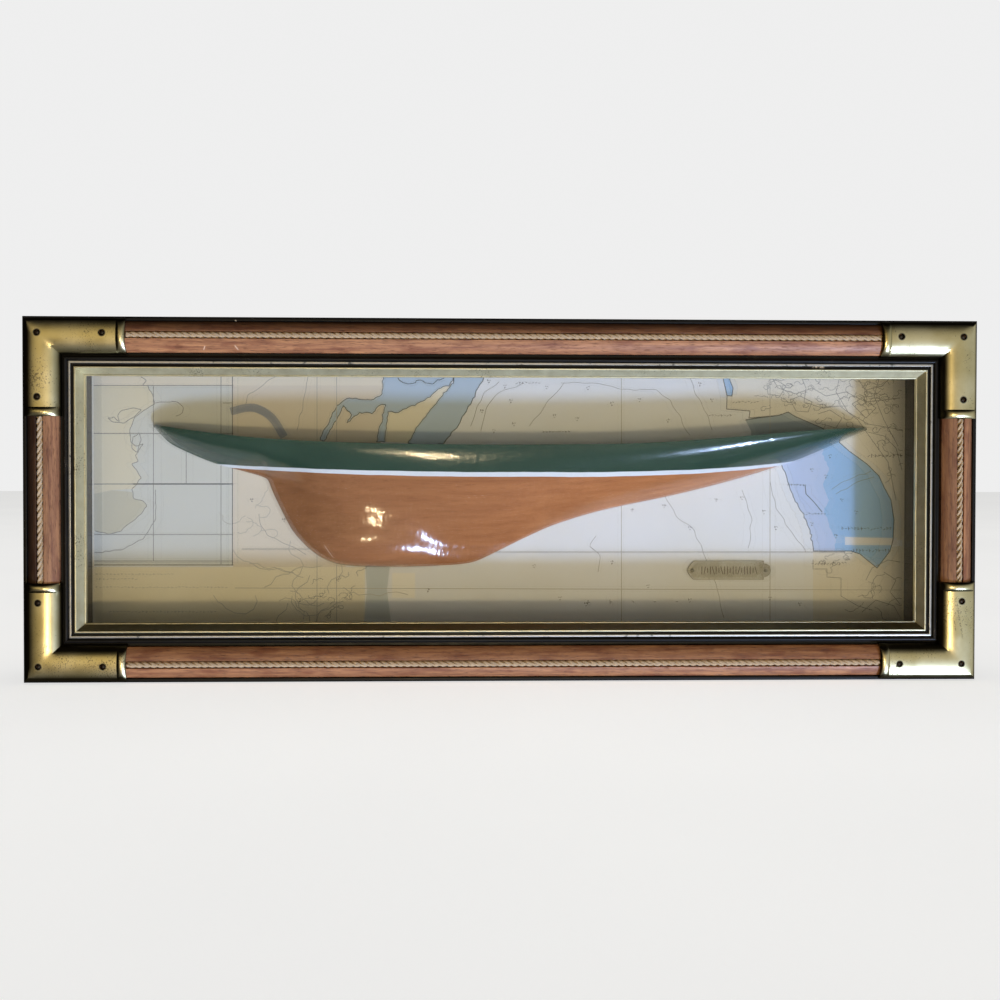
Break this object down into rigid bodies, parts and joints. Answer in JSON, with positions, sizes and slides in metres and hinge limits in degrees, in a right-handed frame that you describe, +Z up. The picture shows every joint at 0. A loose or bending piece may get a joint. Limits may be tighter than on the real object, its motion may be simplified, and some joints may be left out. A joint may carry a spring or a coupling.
{
  "type": "boat shadow box",
  "caption": "Deep glazed shadow-box frame with rope-inlaid wood bands and brass corner caps, holding a painted half-hull sailing boat over a printed sea chart.",
  "frame": {"origin": "middle of the underside, level with the surface the box stands on", "axes": "+X along the box to the viewer's right, +Y from the glazed front to the wall behind, +Z up"},
  "size_m": [0.56, 0.06, 0.213],
  "materials": {
    "black_paint": "semi-gloss black paint on a wood moulding, with one fine silvered line",
    "stained_wood": "red-brown stain under satin varnish",
    "gilt": "pale gold leaf, tarnished in specks",
    "rope": "twisted natural fibre, dull",
    "brass": "aged pressed sheet brass, softly polished",
    "dark_steel": "dark oxidised nails",
    "glass": "clear flat glass",
    "chart_paper": "printed matt paper",
    "board": "plain hardboard",
    "painted_hull": "gloss: dark green above, a white stripe, varnished wood below",
    "plate_brass": "dull thin sheet brass",
    "hanger_steel": "plated steel strip"
  },
  "bodies": {
    "root": {"frame_rail_bottom": "black_paint", "frame_rail_left": "black_paint", "frame_rail_top": "black_paint", "frame_rail_right": "black_paint", "wood_band_bottom": "stained_wood", "wood_band_left": "stained_wood", "wood_band_top": "stained_wood", "wood_band_right": "stained_wood", "gilt_slip_bottom": "gilt", "gilt_slip_left": "gilt", "gilt_slip_top": "gilt", "gilt_slip_right": "gilt", "rope_inlay_bottom": "rope", "rope_inlay_left": "rope", "rope_inlay_top": "rope", "rope_inlay_right": "rope", "corner_cap_bottom_left": "brass", "corner_cap_bottom_right": "brass", "corner_cap_top_left": "brass", "corner_cap_top_right": "brass", "cap_nail_bottom_left_1": "dark_steel", "cap_nail_bottom_left_2": "dark_steel", "cap_nail_bottom_left_3": "dark_steel", "cap_nail_bottom_right_1": "dark_steel", "cap_nail_bottom_right_2": "dark_steel", "cap_nail_bottom_right_3": "dark_steel", "cap_nail_top_left_1": "dark_steel", "cap_nail_top_left_2": "dark_steel", "cap_nail_top_left_3": "dark_steel", "cap_nail_top_right_1": "dark_steel", "cap_nail_top_right_2": "dark_steel", "cap_nail_top_right_3": "dark_steel", "glass_pane": "glass", "chart_sheet": "chart_paper", "back_board": "board", "half_hull": "painted_hull", "name_plate": "plate_brass", "plate_pin_left": "plate_brass", "plate_pin_right": "plate_brass", "sawtooth_hanger": "hanger_steel", "hanger_nail_left": "hanger_steel", "hanger_nail_right": "hanger_steel"}
  },
  "joints": []
}
